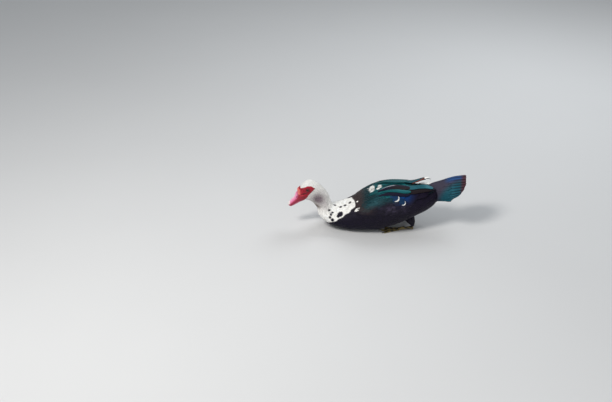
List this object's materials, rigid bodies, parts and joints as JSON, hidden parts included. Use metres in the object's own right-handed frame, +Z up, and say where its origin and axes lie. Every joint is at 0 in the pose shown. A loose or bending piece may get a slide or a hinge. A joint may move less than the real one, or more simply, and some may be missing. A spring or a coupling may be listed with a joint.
{
  "type": "muscovy duck",
  "caption": "Life-size still model of a domestic muscovy drake, pied black and white, resting on its belly with neck bent forward, wings folded and tail fanned.",
  "frame": {"origin": "middle of the flat of the belly, on the ground", "axes": "+Z up, the bird looks along -Y with its tail to +Y, and its left side is +X"},
  "size_m": [0.206, 0.7175, 0.224],
  "materials": {
    "white_feathers": "soft white contour feathers with small dark spots",
    "dark_feathers": "black-brown contour feathers with a violet and green sheen",
    "flight_feathers": "glossy green-blue flight and tail feathers",
    "face_skin": "bare warty crimson skin",
    "bill_horn": "smooth pink bill sheath",
    "nail_horn": "pale horn",
    "eye": "wet, brown iris and black pupil",
    "scaly_skin": "scaly, blotched yellow-grey and black",
    "claw_horn": "dark horn"
  },
  "bodies": {
    "root": {"head": "white_feathers", "neck": "white_feathers", "trunk": "dark_feathers", "tail": "flight_feathers", "wing_left": "flight_feathers", "wing_right": "flight_feathers", "wing_tip_left": "flight_feathers", "wing_tip_right": "flight_feathers", "bill_upper": "bill_horn", "bill_lower": "bill_horn", "bill_nail": "nail_horn", "eye_left": "eye", "eye_right": "eye", "thigh_left": "dark_feathers", "thigh_right": "dark_feathers", "shank_left": "scaly_skin", "shank_right": "scaly_skin", "foot_left": "scaly_skin", "foot_right": "scaly_skin", "hind_toe_left": "scaly_skin", "hind_toe_right": "scaly_skin", "claw_inner_left": "claw_horn", "claw_middle_left": "claw_horn", "claw_outer_left": "claw_horn", "claw_hind_left": "claw_horn", "claw_inner_right": "claw_horn", "claw_middle_right": "claw_horn", "claw_outer_right": "claw_horn", "claw_hind_right": "claw_horn"}
  },
  "joints": []
}
